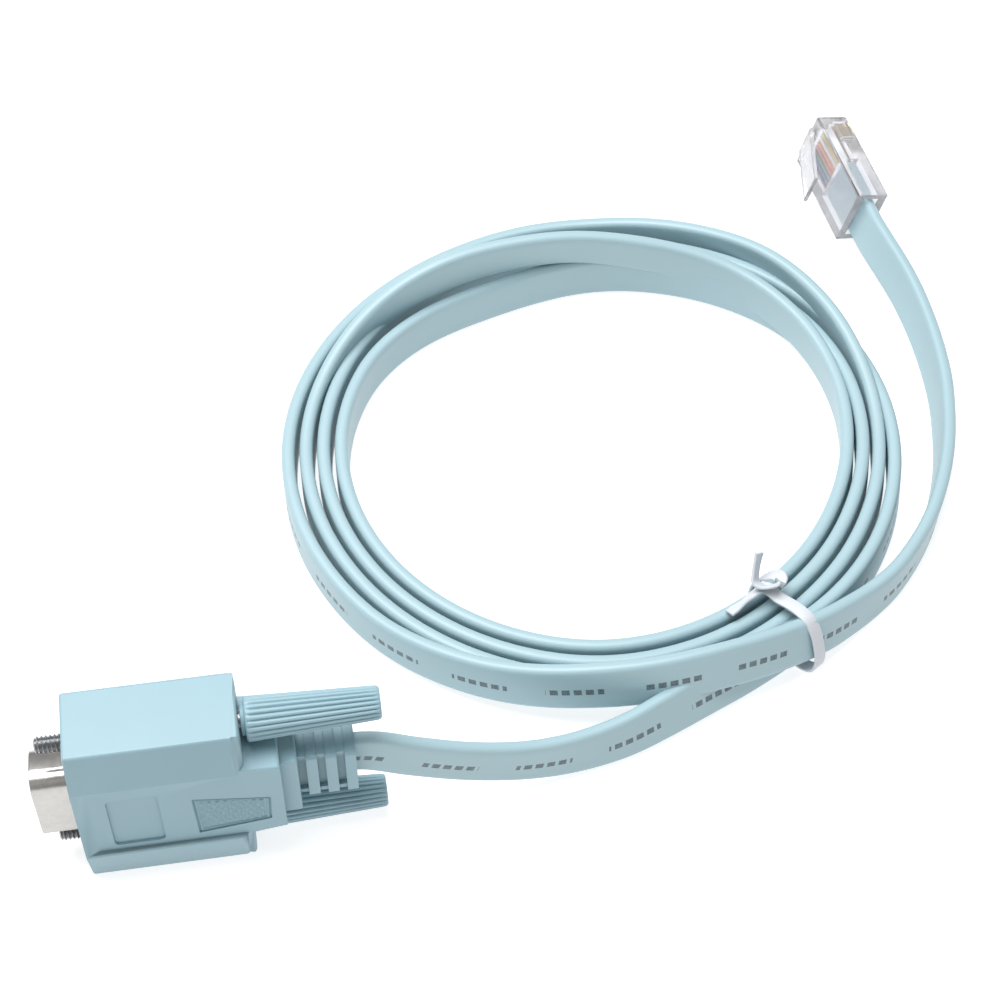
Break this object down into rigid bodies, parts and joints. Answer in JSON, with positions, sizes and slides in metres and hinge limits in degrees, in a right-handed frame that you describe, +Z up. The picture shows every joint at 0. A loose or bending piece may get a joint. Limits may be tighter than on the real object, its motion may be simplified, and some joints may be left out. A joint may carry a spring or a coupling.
{
  "type": "console cable",
  "caption": "Flat serial console cable, tied in a round coil, with a screw-lock D-shaped connector and a clear modular plug.",
  "frame": {"origin": "bottom centre of the screw-lock connector's box, on the surface the cable lies on", "axes": "+X along the connector towards its cable, +Y across its thickness, +Z up along its height"},
  "size_m": [0.1622, 0.1382, 0.0335],
  "materials": {
    "hood_plastic": "satin moulded",
    "plated_steel": "tin plated",
    "insulator_plastic": "matt",
    "screw_steel": "plain steel thread",
    "cable_jacket": "satin flexible",
    "tie_plastic": "matt flexible",
    "clear_plastic": "clear gloss",
    "gold_plate": "gold plated",
    "wire_brown": "satin",
    "wire_yellow": "satin",
    "wire_white": "satin",
    "wire_orange": "satin",
    "wire_red": "satin",
    "wire_green": "satin",
    "wire_blue": "satin",
    "wire_black": "satin"
  },
  "bodies": {
    "cable": {"hood": "hood_plastic", "d_shell": "plated_steel", "contact_insulator": "insulator_plastic", "socket_contact_1": "gold_plate", "socket_contact_2": "gold_plate", "socket_contact_3": "gold_plate", "socket_contact_4": "gold_plate", "socket_contact_5": "gold_plate", "socket_contact_6": "gold_plate", "socket_contact_7": "gold_plate", "socket_contact_8": "gold_plate", "socket_contact_9": "gold_plate", "cable_hood_tail": "cable_jacket", "cable_coil": "cable_jacket", "cable_plug_tail": "cable_jacket", "twist_tie": "tie_plastic", "plug_body": "clear_plastic", "plug_contact_1": "gold_plate", "plug_contact_2": "gold_plate", "plug_contact_3": "gold_plate", "plug_contact_4": "gold_plate", "plug_contact_5": "gold_plate", "plug_contact_6": "gold_plate", "plug_contact_7": "gold_plate", "plug_contact_8": "gold_plate", "conductor_1": "wire_brown", "conductor_2": "wire_yellow", "conductor_3": "wire_white", "conductor_4": "wire_orange", "conductor_5": "wire_red", "conductor_6": "wire_green", "conductor_7": "wire_blue", "conductor_8": "wire_black"},
    "upper_thumbscrew": {"upper_thumbscrew_head": "hood_plastic", "upper_jackscrew": "screw_steel"},
    "lower_thumbscrew": {"lower_thumbscrew_head": "hood_plastic", "lower_jackscrew": "screw_steel"}
  },
  "joints": [
    {"name": "upper_screw_turn", "type": "hinge", "parent": "cable", "child": "upper_thumbscrew", "pos_m": [0, 0, 0.02925], "axis": [1, 0, 0], "continuous": true},
    {"name": "lower_screw_turn", "type": "hinge", "parent": "cable", "child": "lower_thumbscrew", "pos_m": [0, 0, 0.00426], "axis": [1, 0, 0], "continuous": true}
  ]
}
